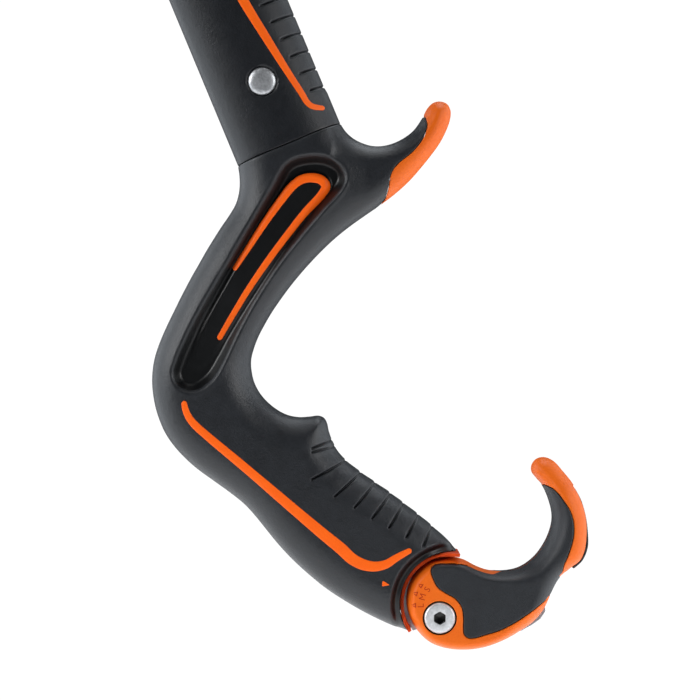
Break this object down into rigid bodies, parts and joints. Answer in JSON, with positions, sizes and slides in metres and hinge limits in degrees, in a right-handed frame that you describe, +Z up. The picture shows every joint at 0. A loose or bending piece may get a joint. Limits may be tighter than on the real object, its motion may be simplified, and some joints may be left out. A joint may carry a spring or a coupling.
{
  "type": "ice axe",
  "caption": "Technical ice axe with a curved shaft, offset moulded grip, upper finger hook, toothed pick, hammer and an adjustable hooked pommel.",
  "frame": {"origin": "middle of the main grip, on the plane of symmetry, 50.4 mm above the pommel's lowest point", "axes": "+Z up the grip to the head, +X towards the pick and the finger side, +Y across the axe"},
  "size_m": [0.2245, 0.029, 0.5113],
  "materials": {
    "shaft_aluminium": "dark anodised, satin",
    "sleeve_rubber": "matt, fine grain",
    "handle_black": "matt, fine grain",
    "core_nylon": "moulded",
    "stripe_orange": "satin, moulded inlay",
    "shell_orange": "satin, moulded",
    "liner_orange": "moulded",
    "pad_black": "matt, fine grain",
    "head_painted": "forged aluminium, satin powder coat",
    "forged_steel": "ground and blasted",
    "weight_steel": "phosphated",
    "plate_steel": "blanked and tumbled",
    "fastener_steel": "machined, satin"
  },
  "bodies": {
    "axe": {"shaft_tube": "shaft_aluminium", "upper_grip_sleeve": "sleeve_rubber", "upper_grip_stripe_near": "stripe_orange", "upper_grip_stripe_far": "stripe_orange", "grip_rivet": "fastener_steel", "handle_core": "core_nylon", "handle_overmould": "handle_black", "hook_cap": "shell_orange", "recess_stripe_near": "stripe_orange", "recess_stripe_far": "stripe_orange", "grip_stripe_near": "stripe_orange", "grip_stripe_far": "stripe_orange", "size_pointer_near": "stripe_orange", "size_pointer_far": "stripe_orange", "socket_liner": "liner_orange", "pivot_plate": "plate_steel", "pivot_plate_pin_1": "fastener_steel", "pivot_plate_pin_2": "fastener_steel", "head_block": "head_painted", "head_rivet_1": "fastener_steel", "head_rivet_2": "fastener_steel", "pick": "forged_steel", "hammer": "forged_steel", "pick_bolt": "fastener_steel", "pick_nut": "fastener_steel", "hammer_bolt": "fastener_steel", "hammer_nut": "fastener_steel", "pick_weight_near": "weight_steel", "pick_weight_far": "weight_steel", "weight_screw": "fastener_steel", "weight_nut": "fastener_steel"},
    "pommel": {"pommel_shell_near": "shell_orange", "pommel_shell_far": "shell_orange", "pommel_pad_near": "pad_black", "pommel_pad_far": "pad_black", "hook_bumper": "pad_black", "spike_plate": "plate_steel", "pommel_screw": "fastener_steel", "pommel_nut": "fastener_steel", "pommel_dowel_1": "fastener_steel", "pommel_dowel_2": "fastener_steel"}
  },
  "joints": [
    {"name": "pommel_adjust", "type": "hinge", "parent": "axe", "child": "pommel", "pos_m": [0.0444, 0, -0.0345], "axis": [0, 1, 0], "range_deg": [-16, 16]}
  ]
}
